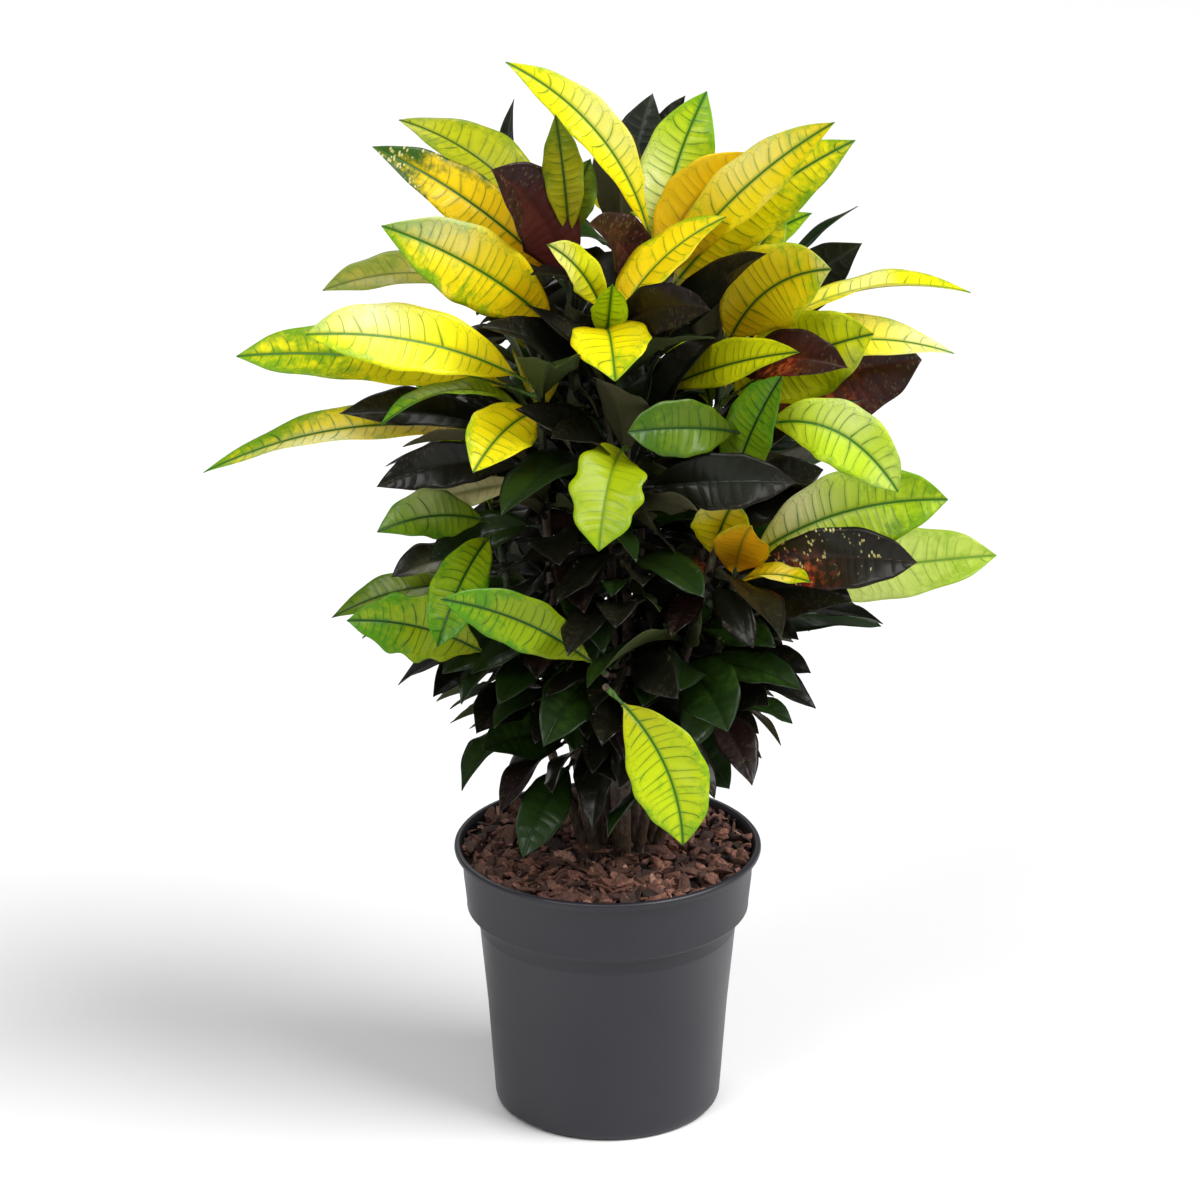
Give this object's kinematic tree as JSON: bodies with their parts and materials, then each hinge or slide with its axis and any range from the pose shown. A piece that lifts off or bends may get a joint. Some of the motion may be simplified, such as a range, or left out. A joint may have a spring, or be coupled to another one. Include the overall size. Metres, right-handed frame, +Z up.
{
  "type": "potted croton",
  "caption": "Bushy croton shrub with leafy woody stems, dark lower leaves and yellow-green top leaves, in a round tapered nursery pot filled with soil under bark mulch.",
  "frame": {"origin": "middle of the pot's flat underside, on the floor", "axes": "+Z up along the pot's axis, -Y towards the side that the picture shows, +X to the right in the picture"},
  "size_m": [0.594, 0.4179, 0.855],
  "materials": {
    "pot_plastic": "satin anthracite polypropylene",
    "soil": "damp peat potting mix",
    "bark": "rough red-brown bark chips",
    "dark_foliage": "glossy dark green to wine leaves on grey-brown wood",
    "bright_foliage": "glossy yellow and lime leaves with green veins"
  },
  "bodies": {
    "root": {"pot": "pot_plastic", "potting_soil": "soil", "bark_mulch": "bark", "stem_crown_left": "dark_foliage", "stem_crown_right": "dark_foliage", "stem_left": "dark_foliage", "stem_front": "dark_foliage", "stem_right": "dark_foliage", "stem_right_front": "dark_foliage", "stem_right_low": "dark_foliage", "stem_front_low": "dark_foliage", "stem_left_low": "dark_foliage", "stem_back_left": "dark_foliage", "stem_back": "dark_foliage", "stem_back_right": "dark_foliage", "stem_back_low": "dark_foliage", "shoot_crown_left": "bright_foliage", "shoot_crown_right": "bright_foliage", "shoot_left": "bright_foliage", "shoot_front": "bright_foliage", "shoot_right": "bright_foliage", "shoot_right_front": "bright_foliage", "shoot_right_low": "bright_foliage", "shoot_front_low": "bright_foliage", "shoot_left_low": "bright_foliage", "shoot_back_left": "bright_foliage", "shoot_back": "bright_foliage", "shoot_back_right": "bright_foliage", "shoot_back_low": "bright_foliage", "twig_left": "bright_foliage", "twig_middle": "bright_foliage", "twig_low": "bright_foliage"}
  },
  "joints": []
}
